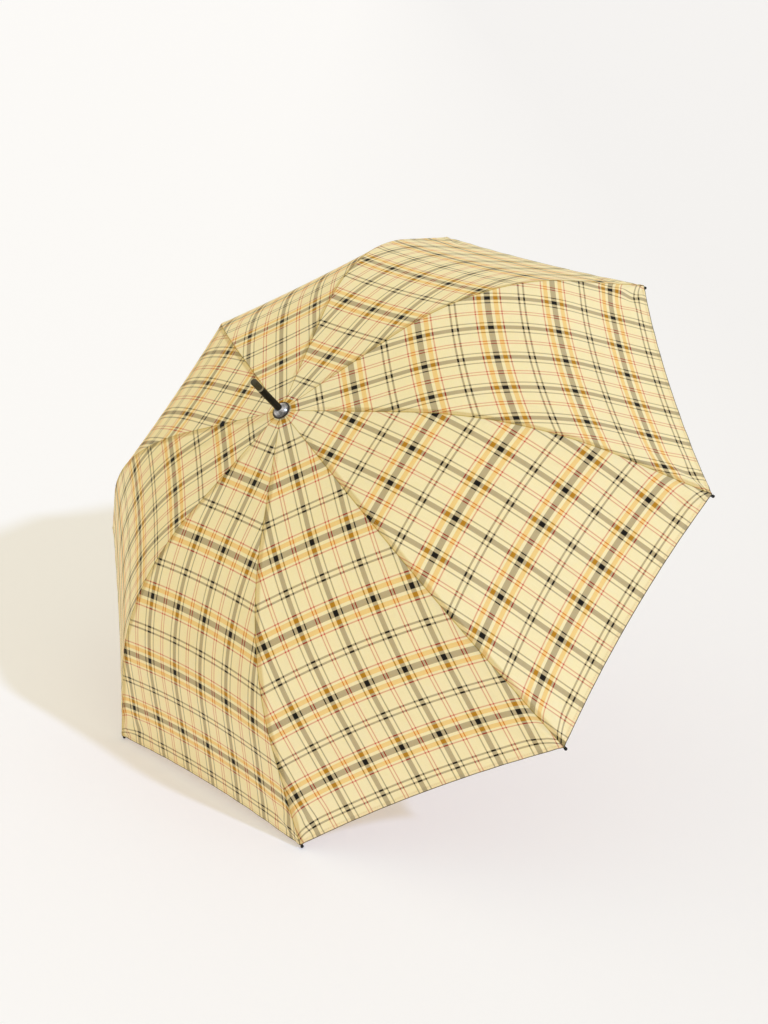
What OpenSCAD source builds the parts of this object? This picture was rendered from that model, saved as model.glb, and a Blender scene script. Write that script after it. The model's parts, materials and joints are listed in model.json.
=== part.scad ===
// Stick umbrella, open: channel ribs on a slotted crown, stretchers on a sliding runner, crook handle.
// Millimetres. +Z runs up the shaft to the ferrule and the origin is the middle of the hand grip.

/* [Shaft] */
// Outer diameter of the shaft tube
shaft_d = 8; // [7:0.1:10]
// Wall of the shaft tube
shaft_wall = 0.7; // [0.5:0.05:1]
// Height of the rib hinges above the middle of the grip
crown_z = 690; // [660:5:760]
// Radial clearance of what slides or sits on the shaft
slide_gap = 0.06; // [0.03:0.01:0.1]

/* [Ribs] */
// Number of ribs
rib_count = 8; // [6:1:9]
// Width of the rib channel
rib_w = 3.2; // [2.8:0.1:3.8]
// Depth of the rib channel
rib_h = 2.8; // [2.4:0.1:3.4]
// Sheet thickness of the rib and stretcher channels
channel_wall = 0.5; // [0.4:0.05:0.6]
// Fall of the inner rib below level, in degrees
rib_fall = 10; // [6:0.5:14]
// Length of the straight inner rib, from its hinge to the bend
rib_inner = 164; // [140:1:190]
// Radius of the bend on the rib's centreline
rib_bend_r = 377; // [320:1:450]
// Angle turned by the bend, in degrees
rib_bend = 41.5; // [34:0.5:46]
// Length of the straight outer rib, from the bend to the end of its tip
rib_outer = 140; // [120:1:170]
// Distance of a closed rib's end from the shaft's axis
closed_r = 22; // [18:1:30]

/* [Rib tips] */
// Outer diameter of the tip's socket
tip_d = 3.6; // [3.6:0.1:4.2]
// Diameter of the ball at the tip's end
tip_ball_d = 4.4; // [4.2:0.1:5.6]
// Length of the tip
tip_l = 20; // [16:1:26]
// Diameter of the rib's round end in the tip
tip_tenon_d = 2.2; // [1.8:0.1:2.4]
// Diameter of the sewing hole through the tip
tip_hole_d = 0.9; // [0.6:0.1:1.1]

/* [Hinges] */
// Diameter of the hinge wires at crown and runner
wire_d = 1.2; // [1:0.05:1.4]
// Outer diameter of the eyes on ribs and stretchers
eye_d = 3.8; // [3.2:0.1:4.4]
// Thickness of the flattened ends that carry the eyes
eye_t = 1.8; // [1.4:0.1:2]
// Distance from an eye to the start of its channel
eye_neck = 14; // [12:0.5:18]
// Radial clearance of wires and rivets in their holes
pin_gap = 0.07; // [0.05:0.01:0.1]
// Clearance on each side of an eye in its slot and of a rib in its fork
side_gap = 0.3; // [0.2:0.05:0.4]

/* [Stretchers] */
// Distance along the rib from its hinge to the stretcher's rivet
stretcher_at = 226; // [200:1:250]
// Depth of the stretcher channel
stretcher_h = 3; // [2.6:0.1:3.6]
// Length of the fork that straddles the rib
fork_l = 14; // [12:0.5:18]
// Diameter of the round ears at the fork's end, which stay under the canopy's slope
ear_d = 3.8; // [3.4:0.1:4]
// Diameter of the rivets
rivet_d = 1.6; // [1.3:0.1:1.8]
// Diameter of the rivet heads
rivet_head_d = 2.8; // [2.4:0.1:3.4]
// Height of the rivet heads
rivet_head_h = 0.7; // [0.5:0.1:1]

/* [Crown and runner] */
// Height of the slotted notches that hold the eyes
notch_h = 9; // [8:0.5:11]
// Wall of the runner's sleeve and of the crown's hub
sleeve_wall = 2.1; // [1.6:0.1:2.6]
// Length of the runner's sleeve below its hinges
runner_l = 48; // [46:1:60]
// Diameter of the runner's thumb ring
thumb_d = 19; // [16:0.5:24]
// Height of the thumb ring
thumb_h = 5; // [3:0.5:5.5]
// Length of the crown's hub below the notch
hub_l = 12; // [9:0.5:18]
// Diameter of the cross pins in the shaft
cross_pin_d = 1.6; // [1.2:0.1:2]
// Length of the stop pin that shows on each side of the shaft
stop_out = 1.6; // [1:0.1:2.5]

/* [Catches] */
// Thickness of the catch plates
catch_t = 1.6; // [1.2:0.1:1.8]
// Reach of a catch's nose beyond the shaft
catch_reach = 3.2; // [2.6:0.1:3.4]
// Height of the sloping nose
catch_nose = 14; // [11:0.5:15]
// Distance from the nose's shoulder to the catch's pivot
catch_arm = 23; // [20:0.5:28]
// Azimuth of both catches, in degrees
catch_az = 22.5; // [22.5:45:337.5]

/* [Canopy] */
// Thickness of the canopy solid
canopy_t = 0.8; // [0.6:0.1:1.2]
// Clearance between the canopy and the ribs
canopy_gap = 0.4; // [0.3:0.05:0.6]
// Distance from the hem to the end of the rib tip
hem_back = 6; // [6:0.5:12]
// Pull of the gore's middle towards the crown
gore_pull = 11.4; // [6:0.2:16]
// Sag of the gore's middle below the line between ribs
gore_sag = 3; // [0:0.2:6]

/* [Ferrule and cap] */
// Diameter of the dome cap
cap_d = 22; // [19:0.5:26]
// Height of the dome that the cap is cut from
cap_h = 7; // [6:0.5:9]
// Diameter of the washer under the cap
washer_d = 25; // [20:0.2:28]
// Thickness of the washer
washer_t = 0.9; // [0.6:0.1:1.4]
// Outer diameter of the ferrule tube
ferrule_d = 9.4; // [9:0.1:10.4]
// Length of the ferrule tube
ferrule_l = 44; // [28:1:50]
// Outer diameter of the ferrule's end piece
ferrule_end_d = 9; // [8.8:0.1:10.2]
// Length of the ferrule's end piece
ferrule_end_l = 19; // [18:1:30]
// Length of solid metal at the closed end of that piece
ferrule_end_solid = 8; // [6:0.5:10]

/* [Handle] */
// Diameter of the crook
crook_d = 21; // [18:0.5:25]
// Radius of the crook's bend on its centreline
crook_r = 34; // [28:0.5:44]
// Diameter of the grip where it meets the collar
grip_top_d = 19; // [17:0.5:22]
// Length of the straight grip
grip_l = 80; // [70:1:110]
// Length of the crook's straight nose
crook_nose = 20; // [8:1:34]
// Azimuth that the crook points to, in degrees
crook_az = 90; // [0:22.5:337.5]
// Depth of the shaft in the grip
shaft_in = 45; // [30:1:60]
// Height of the collar above the grip
collar_h = 14; // [10:0.5:20]
// Diameter of the collar where it meets the grip
collar_d = 20; // [18:0.5:24]
// Diameter of the collar's top
collar_top_d = 12.4; // [11.8:0.2:15]
// Diameter of the grip's spigot inside the collar
spigot_d = 14; // [12.6:0.2:15.4]
// Height of that spigot
spigot_h = 5; // [3:0.5:7]
// Height of the bead round the collar's foot
collar_bead_h = 3; // [1.5:0.5:4]

/* [Hidden] */
$fn = 64;
part_names = ["rib", "rib_tip", "stretcher", "rivet", "canopy_panel"];

// Small clearance between seated pieces, and the overlap of cutters past the faces they cut
seat_gap = 0.3;
cut = 1;

// Angle between ribs
step = 360 / rib_count;

// Radii on the shaft, from the tube outwards
shaft_r = shaft_d / 2;
shaft_bore_r = shaft_r - shaft_wall;
bore_r = shaft_r + slide_gap;
sleeve_r = bore_r + sleeve_wall;
eye_r = eye_d / 2;
pivot_r = sleeve_r + 2 * side_gap + eye_r + slide_gap;
notch_r = pivot_r + eye_r;
slot_r = pivot_r - eye_r - side_gap;
slot_w = eye_t + 2 * side_gap;
wire_r = wire_d / 2;
wire_hole_r = wire_r + pin_gap;
cross_pin_r = cross_pin_d / 2;
cross_hole_r = cross_pin_r + slide_gap;

// The rib's centreline starts above its hinge, so that the eye stays under the canopy
eye_sink = 0.5;
eye_drop = eye_r - rib_h / 2 + eye_sink;
bend_l = rib_bend_r * rib_bend * PI / 180;
rib_l = rib_inner + bend_l + rib_outer;

// Fall of the rib, and a point on it, at length s along the centreline and height n above it
function turned(s) = min(max((s - rib_inner) / bend_l, 0), 1) * rib_bend;
function fall(s) = rib_fall + turned(s);
function rib_r(s, n = 0) =
  pivot_r + eye_drop * sin(rib_fall)
  + min(s, rib_inner) * cos(rib_fall)
  + rib_bend_r * (sin(fall(s)) - sin(rib_fall))
  + max(s - rib_inner - bend_l, 0) * cos(rib_fall + rib_bend)
  + n * sin(fall(s));
function rib_z(s, n = 0) =
  crown_z + eye_drop * cos(rib_fall)
  - min(s, rib_inner) * sin(rib_fall)
  - rib_bend_r * (cos(rib_fall) - cos(fall(s)))
  - max(s - rib_inner - bend_l, 0) * sin(rib_fall + rib_bend)
  + n * cos(fall(s));

// Linkage: rib hinge to rivet and runner hinge to rivet are equally long
rivet_dr = rib_r(stretcher_at) - pivot_r;
rivet_dz = crown_z - rib_z(stretcher_at);
link_l = norm([rivet_dr, rivet_dz]);
link_fall = atan2(rivet_dz, rivet_dr);
runner_z = crown_z - 2 * rivet_dz;
tip_dr = rib_r(rib_l) - pivot_r;
tip_dz = crown_z - rib_z(rib_l);
rib_swing = 90 - asin((closed_r - pivot_r) / norm([tip_dr, tip_dz])) - atan2(tip_dz, tip_dr);
runner_travel = 2 * link_l * (sin(link_fall + rib_swing) - sin(link_fall));

// Stretcher
stretcher_w = rib_w + 2 * side_gap + 2 * channel_wall;
rivet_r = rivet_d / 2;
rivet_hole_r = rivet_r + pin_gap;

// Runner and catches
runner_foot = runner_z - runner_l;
nose_r = shaft_r + catch_reach;
catch_press = asin((catch_reach + seat_gap) / catch_arm);
catch_rise = nose_r * sin(catch_press);
top_catch_z = runner_foot - seat_gap;
window_foot = 8;
window_l = catch_nose + 4 * seat_gap;
bottom_catch_z = runner_foot - runner_travel + thumb_h + window_foot + seat_gap;
stop_z = runner_z + notch_h / 2 + cross_pin_r + seat_gap;
crown_pin_z = crown_z - notch_h / 2 - hub_l / 2;

// Canopy
hem_s = rib_l - hem_back;
canopy_in = shaft_r + 4 * seat_gap;
canopy_s0 = (canopy_in - pivot_r) / cos(rib_fall);
canopy_rows = 30;
canopy_cols = 6;
facet_dip = pow(hem_s / canopy_rows, 2) / (8 * rib_bend_r);
ridge_rise = rib_w / 2 * tan(step / 2) * sin(rib_fall + rib_bend);
canopy_low = rib_h / 2 + canopy_gap + ridge_rise + facet_dip;
panel_gap = 0.2;

// Stack above the canopy
washer_z = rib_z(canopy_s0, canopy_low + canopy_t) + seat_gap;
cap_z = washer_z + washer_t;
cap_sphere_r = (pow(cap_d / 2, 2) + pow(cap_h, 2)) / (2 * cap_h);
cap_seat_r = ferrule_d / 2 + seat_gap / 2;
cap_top = sqrt(pow(cap_sphere_r, 2) - pow(cap_seat_r, 2)) - cap_sphere_r + cap_h;
ferrule_z = cap_z + cap_top;
ferrule_end_z = ferrule_z + ferrule_l;
ferrule_tip_z = ferrule_end_z + ferrule_end_l;
shaft_top = ferrule_tip_z - ferrule_end_solid - seat_gap;

// Handle
grip_top = grip_l / 2;
shaft_foot = grip_top - shaft_in;

// Section of a channel w wide and h deep: x across the depth, open at the low side
function channel_points(w, h) = [
  [-h / 2, -w / 2],
  [h / 2, -w / 2],
  [h / 2, w / 2],
  [-h / 2, w / 2],
  [-h / 2, w / 2 - channel_wall],
  [h / 2 - channel_wall, w / 2 - channel_wall],
  [h / 2 - channel_wall, channel_wall - w / 2],
  [-h / 2, channel_wall - w / 2],
];

// A channel along +X from x0, with its web on the +Z side
module channel_run(x0, length, w, h) {
  translate([x0, 0, 0])
    rotate([0, -90, 0])
      mirror([0, 0, 1])
        linear_extrude(length)
          polygon(channel_points(w, h));
}

// A hole along Y through the point x, z
module cross_hole(x, z, r, length) {
  translate([x, length / 2, z])
    rotate([90, 0, 0])
      cylinder(r = r, h = length);
}

// A flattened end along +X from its eye at the origin: an eye, a tongue, and a plug in the channel
module eye_end(plug_z, w, h) {
  plug_l = 4;
  rotate([90, 0, 0])
    translate([0, 0, -eye_t / 2])
      linear_extrude(eye_t)
        union() {
          circle(eye_r);
          polygon([
            [0, -eye_r],
            [eye_neck + plug_l, plug_z - h / 2],
            [eye_neck + plug_l, plug_z + h / 2],
            [0, eye_r],
          ]);
        }
  translate([eye_neck - plug_l / 2, -w / 2, plug_z - h / 2])
    cube([plug_l, w, h]);
}

// Puts a piece of rib k, drawn from the rib's hinge along +X, in place
module on_rib(k) {
  rotate([0, 0, (1 - k) * step])
    translate([pivot_r, 0, crown_z])
      rotate([0, rib_fall, 0])
        children();
}

// Puts a piece, drawn along +X from the end of the rib's bend, in the rib's frame
module after_bend() {
  translate([rib_inner, 0, eye_drop - rib_bend_r])
    rotate([0, rib_bend, 0])
      translate([0, 0, rib_bend_r])
        children();
}

// Rib: pressed eye, straight channel, curved channel, straight channel and a round tenon for the tip
tenon_l = tip_l * 0.55;
channel_end = rib_outer - tip_l;
tip_drop = tip_d / 2 - rib_h / 2;
module rib(k) {
  rivet_turn = turned(stretcher_at);
  rivet_x = rib_inner + rib_bend_r * sin(rivet_turn);
  rivet_z = eye_drop - rib_bend_r * (1 - cos(rivet_turn));
  tenon_plug = 6;
  color("dimgray")
    on_rib(k)
      difference() {
        union() {
          eye_end(eye_drop, rib_w, rib_h);
          translate([0, 0, eye_drop])
            channel_run(eye_neck, rib_inner - eye_neck, rib_w, rib_h);
          translate([rib_inner, 0, eye_drop - rib_bend_r])
            rotate([0, -90, -90])
              rotate_extrude(angle = rib_bend, $fn = 360)
                translate([rib_bend_r, 0])
                  polygon(channel_points(rib_w, rib_h));
          after_bend()
            channel_run(0, channel_end, rib_w, rib_h);
          after_bend()
            translate([channel_end - tenon_plug, -rib_w / 2, -rib_h / 2])
              cube([tenon_plug, rib_w, rib_h]);
          after_bend()
            translate([channel_end - tenon_plug / 2, 0, -tip_drop])
              rotate([0, 90, 0])
                cylinder(d = tip_tenon_d, h = tenon_l + tenon_plug / 2);
        }
        cross_hole(0, 0, wire_hole_r, eye_t + 2 * cut);
        cross_hole(rivet_x, rivet_z, rivet_hole_r, rib_w + 2 * cut);
      }
}

// Rib tip: a socket over the rib's tenon, a ball at its end and a hole for the sewing thread
module rib_tip(k) {
  ball_r = tip_ball_d / 2;
  color("black")
    on_rib(k)
      after_bend()
        translate([channel_end, 0, -tip_drop])
          difference() {
            rotate([0, 90, 0])
              union() {
                cylinder(d = tip_d, h = tip_l - ball_r);
                translate([0, 0, tip_l - ball_r])
                  sphere(ball_r);
              }
            translate([-cut, 0, 0])
              rotate([0, 90, 0])
                cylinder(r = tip_tenon_d / 2 + slide_gap, h = tenon_l + cut + seat_gap);
            cross_hole(tip_l - tip_ball_d - tip_hole_d, 0, tip_hole_d / 2, tip_d + 2 * cut);
          }
}

// Puts a piece of stretcher k, drawn from the runner's hinge along +X, in place
module on_stretcher(k) {
  rotate([0, 0, (1 - k) * step])
    translate([pivot_r, 0, runner_z])
      rotate([0, -link_fall, 0])
        children();
}

// Stretcher: pressed eye at the runner, channel open upwards, and a fork that straddles the rib.
// The fork's sides run back into the channel's walls by fork_root.
module stretcher(k) {
  fork_x = link_l - fork_l;
  fork_root = fork_l / 4;
  ear_r = ear_d / 2;
  color("gray")
    on_stretcher(k)
      difference() {
        union() {
          eye_end(0, stretcher_w, stretcher_h);
          mirror([0, 0, 1])
            channel_run(eye_neck, fork_x - eye_neck, stretcher_w, stretcher_h);
          for (side = [-1, 1])
            translate([0, side * (stretcher_w - channel_wall) / 2, 0])
              rotate([90, 0, 0])
                translate([0, 0, -channel_wall / 2])
                  linear_extrude(channel_wall)
                    union() {
                      translate([link_l, 0])
                        circle(ear_r);
                      polygon([
                        [fork_x - fork_root, -stretcher_h / 2],
                        [fork_x, -stretcher_h / 2],
                        [link_l, -ear_r],
                        [link_l, ear_r],
                        [fork_x, stretcher_h / 2],
                        [fork_x - fork_root, stretcher_h / 2],
                      ]);
                    }
        }
        cross_hole(0, 0, wire_hole_r, eye_t + 2 * cut);
        cross_hole(link_l, 0, rivet_hole_r, stretcher_w + 2 * cut);
      }
}

// Rivet through the fork and the rib, with a head on each side
module rivet(k) {
  shank_l = stretcher_w + rivet_head_h;
  color("silver")
    on_stretcher(k) {
      cross_hole(link_l, 0, rivet_r, shank_l);
      for (side = [-1, 1])
        translate([0, side * (stretcher_w + rivet_head_h) / 2, 0])
          cross_hole(link_l, 0, rivet_head_d / 2, rivet_head_h);
    }
}

// Canopy surface of rib 1 at length s, share v of the way to the middle of the next gore, and height n
function gore_shape(s) = let (u = s / hem_s) u > 0 ? pow(u, 3) * (1.133 - u) / 0.174 : 0;
function canopy_point(s, v, n) =
  let (
    r = rib_r(s, n),
    z = rib_z(s, n),
    a = abs(v),
    bulge = gore_shape(s) * a * (2 - a),
    pull = -bulge * (gore_pull * cos(fall(s)) + gore_sag * sin(fall(s))),
    lift = bulge * (gore_pull * sin(fall(s)) - gore_sag * cos(fall(s)))
  )
  [
    r * (1 - a / 2 * (1 - cos(step))) + pull * cos(step / 2),
    sign(v) * (r * a / 2 * sin(step) + pull * sin(step / 2)),
    z + lift,
  ];

// Canopy panel: the cloth over one rib, out to the middle of the gore on each side
module canopy_panel(k) {
  row_n = canopy_cols + 1;
  sheet_n = row_n * (canopy_rows + 1);
  points = [
    for (n = [canopy_low + canopy_t, canopy_low], i = [0:canopy_rows], j = [0:canopy_cols])
      let (
        s = canopy_s0 + (hem_s - canopy_s0) * i / canopy_rows,
        edge = 1 - panel_gap / (rib_r(s) * sin(step / 2)),
        v = (2 * j / canopy_cols - 1) * edge
      )
      canopy_point(s, v, n)
  ];
  function at(sheet, i, j) = sheet * sheet_n + i * row_n + j;
  top_faces = [
    for (i = [0:canopy_rows - 1], j = [0:canopy_cols - 1], half = [0, 1])
      half == 0
        ? [at(0, i, j), at(0, i, j + 1), at(0, i + 1, j + 1)]
        : [at(0, i, j), at(0, i + 1, j + 1), at(0, i + 1, j)]
  ];
  low_faces = [for (f = top_faces) [f[2] + sheet_n, f[1] + sheet_n, f[0] + sheet_n]];
  rim = concat(
    [for (j = [0:canopy_cols - 1]) [0, j]],
    [for (i = [0:canopy_rows - 1]) [i, canopy_cols]],
    [for (j = [canopy_cols:-1:1]) [canopy_rows, j]],
    [for (i = [canopy_rows:-1:1]) [i, 0]]
  );
  rim_faces = [
    for (m = [0:len(rim) - 1], half = [0, 1])
      let (p = rim[m], q = rim[(m + 1) % len(rim)])
      half == 0
        ? [at(0, p[0], p[1]), at(1, p[0], p[1]), at(1, q[0], q[1])]
        : [at(0, p[0], p[1]), at(1, q[0], q[1]), at(0, q[0], q[1])]
  ];
  color("khaki")
    rotate([0, 0, (1 - k) * step])
      polyhedron(points, concat(top_faces, low_faces, rim_faces));
}

// Slots for the eyes, cut straight through a notch along the shaft
module eye_slots(z) {
  for (k = [0:rib_count - 1])
    rotate([0, 0, k * step])
      translate([slot_r, -slot_w / 2, z - notch_h / 2 - cut])
        cube([notch_r, slot_w, notch_h + 2 * cut]);
}

// Groove for a hinge wire, open at the notch's rim
module wire_groove(z) {
  groove_r = pivot_r - wire_r - slide_gap;
  translate([0, 0, z - wire_r - slide_gap])
    difference() {
      cylinder(r = notch_r + cut, h = wire_d + 2 * slide_gap);
      translate([0, 0, -cut])
        cylinder(r = groove_r, h = wire_d + 2 * cut);
    }
}

// Crown: slotted notch on a hub that is pinned to the shaft
notch_top = crown_z + eye_r - eye_sink;
module crown_notch() {
  hub_z = crown_z - notch_h / 2 - hub_l;
  color("goldenrod")
    difference() {
      union() {
        translate([0, 0, crown_z - notch_h / 2])
          cylinder(r = notch_r, h = notch_top - crown_z + notch_h / 2);
        translate([0, 0, hub_z])
          cylinder(r = sleeve_r, h = hub_l + cut);
      }
      translate([0, 0, hub_z - cut])
        cylinder(r = bore_r, h = hub_l + notch_h + 2 * cut);
      eye_slots(crown_z);
      wire_groove(crown_z);
      cross_hole(0, crown_pin_z, cross_hole_r, 2 * sleeve_r + 2 * cut);
    }
}

module crown_wire() {
  color("silver")
    translate([0, 0, crown_z])
      rotate_extrude()
        translate([pivot_r, 0])
          circle(wire_r, $fn = 32);
}

module crown_pin() {
  color("silver")
    cross_hole(0, crown_pin_z, cross_pin_r, 2 * sleeve_r);
}

// Runner: slotted notch, sleeve with a window for the lower catch, and a thumb ring
module runner() {
  window_w = catch_t + 4 * side_gap;
  thumb_r = thumb_d / 2;
  thumb_edge = thumb_h / 3;
  color("black")
    difference() {
      union() {
        translate([0, 0, runner_z - notch_h / 2])
          cylinder(r = notch_r, h = notch_h);
        translate([0, 0, runner_foot])
          cylinder(r = sleeve_r, h = runner_l);
        translate([0, 0, runner_foot])
          rotate_extrude()
            polygon([
              [0, 0],
              [thumb_r - thumb_edge, 0],
              [thumb_r, thumb_edge],
              [thumb_r, thumb_h - thumb_edge],
              [thumb_r - thumb_edge, thumb_h],
              [0, thumb_h],
            ]);
      }
      translate([0, 0, runner_foot - cut])
        cylinder(r = bore_r, h = runner_l + notch_h + 2 * cut);
      eye_slots(runner_z);
      wire_groove(runner_z);
      rotate([0, 0, catch_az])
        translate([0, -window_w / 2, runner_foot + thumb_h + window_foot])
          cube([notch_r, window_w, window_l]);
    }
}

// Runner wire: it shows between the slots, where the notch holds it
module runner_wire() {
  slot_turn = 2 * asin((slot_w / 2 + side_gap) / pivot_r);
  color("silver")
    translate([0, 0, runner_z])
      for (k = [0:rib_count - 1])
        rotate([0, 0, k * step + slot_turn / 2])
          rotate_extrude(angle = step - slot_turn)
            translate([pivot_r, 0])
              circle(wire_r, $fn = 32);
}

// Stop pin through the shaft, just above the open runner
module runner_stop() {
  color("silver")
    rotate([0, 0, catch_az])
      cross_hole(0, stop_z, cross_pin_r, shaft_d + 2 * stop_out);
}

// Catch plate with its shoulder at z = 0, its nose sloping away below and its pivot under the nose.
// The shoulder falls outwards by as much as the nose rises when it is pressed in.
module catch_plate() {
  tail_w = 1.3;
  land = 2.5;
  difference() {
    rotate([90, 0, 0])
      translate([0, 0, -catch_t / 2])
        linear_extrude(catch_t)
          union() {
            translate([0, -catch_arm])
              circle(cross_pin_r + tail_w / 2);
            polygon([
              [-cross_pin_r - tail_w / 2, -catch_arm],
              [cross_pin_r + tail_w / 2, -catch_arm],
              [shaft_bore_r - slide_gap - tail_w, -catch_nose - land],
              [shaft_bore_r - slide_gap, -catch_nose],
              [nose_r, -land],
              [nose_r, -catch_rise],
              [shaft_r, 0],
              [shaft_bore_r - tail_w, 0],
            ]);
          }
    cross_hole(0, -catch_arm, cross_hole_r, catch_t + 2 * cut);
  }
}

// Puts a piece drawn for a catch in place: the upper one points up, the lower one down
module on_top_catch() {
  rotate([0, 0, catch_az])
    translate([0, 0, top_catch_z])
      children();
}

module on_bottom_catch() {
  rotate([0, 0, catch_az])
    translate([0, 0, bottom_catch_z])
      mirror([0, 0, 1])
        children();
}

module top_catch() {
  color("silver")
    on_top_catch()
      catch_plate();
}

module bottom_catch() {
  color("silver")
    on_bottom_catch()
      catch_plate();
}

module catch_pin() {
  cross_hole(0, -catch_arm, cross_pin_r, shaft_d);
}

module catch_pins() {
  color("silver") {
    on_top_catch()
      catch_pin();
    on_bottom_catch()
      catch_pin();
  }
}

// Slot in the shaft's wall for a catch, with the holes for its pin
module catch_slot() {
  slot_t = catch_t + 2 * side_gap;
  slot_foot = 2;
  translate([0, -slot_t / 2, -catch_nose - slot_foot])
    cube([shaft_d, slot_t, catch_nose + slot_foot + catch_rise + seat_gap]);
  cross_hole(0, -catch_arm, cross_hole_r, shaft_d + 2 * cut);
}

// Shaft: one tube from the grip to the ferrule's end piece
module shaft() {
  color("dimgray")
    difference() {
      translate([0, 0, shaft_foot])
        cylinder(r = shaft_r, h = shaft_top - shaft_foot);
      translate([0, 0, shaft_foot - cut])
        cylinder(r = shaft_bore_r, h = shaft_top - shaft_foot + 2 * cut);
      on_top_catch()
        catch_slot();
      on_bottom_catch()
        catch_slot();
      rotate([0, 0, catch_az])
        cross_hole(0, stop_z, cross_hole_r, shaft_d + 2 * cut);
      cross_hole(0, crown_pin_z, cross_hole_r, shaft_d + 2 * cut);
    }
}

// Washer that holds the canopy's middle down
module cap_washer() {
  color("saddlebrown")
    translate([0, 0, washer_z])
      difference() {
        cylinder(d = washer_d, h = washer_t);
        translate([0, 0, -cut])
          cylinder(r = bore_r, h = washer_t + 2 * cut);
      }
}

// Dome cap with a flat seat for the ferrule
module dome_cap() {
  color("silver")
    translate([0, 0, cap_z])
      difference() {
        intersection() {
          translate([0, 0, cap_h - cap_sphere_r])
            sphere(cap_sphere_r);
          cylinder(r = cap_d / 2 + cut, h = cap_top);
        }
        translate([0, 0, -cut])
          cylinder(r = bore_r, h = cap_h + 2 * cut);
      }
}

module ferrule() {
  color("black")
    translate([0, 0, ferrule_z])
      difference() {
        cylinder(d = ferrule_d, h = ferrule_l);
        translate([0, 0, -cut])
          cylinder(r = bore_r, h = ferrule_l + 2 * cut);
      }
}

// Ferrule's end piece: blind bore over the shaft's end and a rounded nose
module ferrule_end() {
  end_r = ferrule_end_d / 2;
  nose_round = end_r * 0.6;
  color("darkolivegreen")
    translate([0, 0, ferrule_end_z])
      difference() {
        rotate_extrude()
          union() {
            square([end_r, ferrule_end_l - nose_round]);
            square([end_r - nose_round, ferrule_end_l]);
            translate([end_r - nose_round, ferrule_end_l - nose_round])
              intersection() {
                circle(nose_round);
                square(nose_round);
              }
          }
        translate([0, 0, -cut])
          cylinder(r = bore_r, h = ferrule_end_l - ferrule_end_solid + cut);
      }
}

// Handle: tapered grip with a spigot for the collar, half-round crook and a straight rounded nose
module handle() {
  crook_rod_r = crook_d / 2;
  color("saddlebrown")
    rotate([0, 0, crook_az])
      difference() {
        union() {
          translate([0, 0, -grip_top])
            cylinder(d1 = crook_d, d2 = grip_top_d, h = grip_l);
          translate([0, 0, grip_top - cut])
            cylinder(d = spigot_d, h = spigot_h + cut);
          translate([crook_r, 0, -grip_top])
            rotate([-90, 0, 0])
              rotate_extrude(angle = 180, $fn = 128)
                translate([crook_r, 0])
                  circle(crook_rod_r);
          translate([2 * crook_r, 0, -grip_top])
            cylinder(r = crook_rod_r, h = crook_nose);
          translate([2 * crook_r, 0, crook_nose - grip_top])
            sphere(crook_rod_r);
        }
        translate([0, 0, shaft_foot - seat_gap])
          cylinder(r = bore_r, h = shaft_in + spigot_h + cut);
      }
}

// Collar: turned cup over the grip's spigot, with a bead round its foot
module handle_collar() {
  foot_r = collar_d / 2;
  top_r = collar_top_d / 2;
  bead_edge = collar_bead_h / 4;
  color("silver")
    translate([0, 0, grip_top])
      difference() {
        rotate_extrude()
          polygon([
            [0, 0],
            [foot_r - bead_edge, 0],
            [foot_r, bead_edge],
            [foot_r, collar_bead_h - bead_edge],
            [foot_r - bead_edge, collar_bead_h],
            [top_r, collar_h - bead_edge],
            [top_r - bead_edge, collar_h],
            [0, collar_h],
          ]);
        translate([0, 0, -cut])
          cylinder(r = bore_r, h = collar_h + 2 * cut);
        translate([0, 0, -cut])
          cylinder(r = spigot_d / 2 + slide_gap, h = spigot_h + cut + seat_gap);
      }
}

shaft();
ferrule();
ferrule_end();
dome_cap();
cap_washer();
crown_notch();
crown_wire();
crown_pin();
runner();
runner_wire();
runner_stop();
top_catch();
bottom_catch();
catch_pins();
handle();
handle_collar();
for (k = [1:rib_count]) {
  rib(k);
  rib_tip(k);
  stretcher(k);
  rivet(k);
  canopy_panel(k);
}
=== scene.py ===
# %% [markdown]
# # A stick umbrella, open
# The shaft, the linkage, the ferrule and the crook come as solids from a CAD model. Blender adds what a
# solid modeller does badly: one curved skin of woven cloth with its seams and hem, sewing thread, bent
# wood, and finishes that vary over a surface. Sizes stay as the solids have them. The first cell imports
# the solids.

import json
import math

import bpy
import numpy as np
from mathutils import Matrix, Vector


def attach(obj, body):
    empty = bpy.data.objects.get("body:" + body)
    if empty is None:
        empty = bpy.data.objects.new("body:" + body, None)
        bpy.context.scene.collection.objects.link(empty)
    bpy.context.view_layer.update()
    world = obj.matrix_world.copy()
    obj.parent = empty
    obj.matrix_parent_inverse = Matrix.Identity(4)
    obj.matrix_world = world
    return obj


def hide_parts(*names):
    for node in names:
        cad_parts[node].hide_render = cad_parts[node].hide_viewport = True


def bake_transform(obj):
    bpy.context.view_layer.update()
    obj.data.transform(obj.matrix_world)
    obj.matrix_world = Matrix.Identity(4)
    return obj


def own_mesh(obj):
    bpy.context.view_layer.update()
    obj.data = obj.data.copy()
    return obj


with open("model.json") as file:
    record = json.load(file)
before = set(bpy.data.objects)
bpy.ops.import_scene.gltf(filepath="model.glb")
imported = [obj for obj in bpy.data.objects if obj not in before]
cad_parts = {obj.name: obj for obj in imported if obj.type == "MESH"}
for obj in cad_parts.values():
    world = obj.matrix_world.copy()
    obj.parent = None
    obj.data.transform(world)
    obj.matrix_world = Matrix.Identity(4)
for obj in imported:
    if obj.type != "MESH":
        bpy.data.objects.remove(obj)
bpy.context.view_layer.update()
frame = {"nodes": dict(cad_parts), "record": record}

# %% [markdown]
# ## Finishes as expressions
# A finish is a tree of shader nodes. Placing each node by hand is long and hard to read, so a small class
# stands for a socket and lets Python's operators add the Math nodes. Another holds the material and has
# the one method that adds any other node. Colours go through Mix nodes, because a Math node would turn
# them grey.

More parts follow.
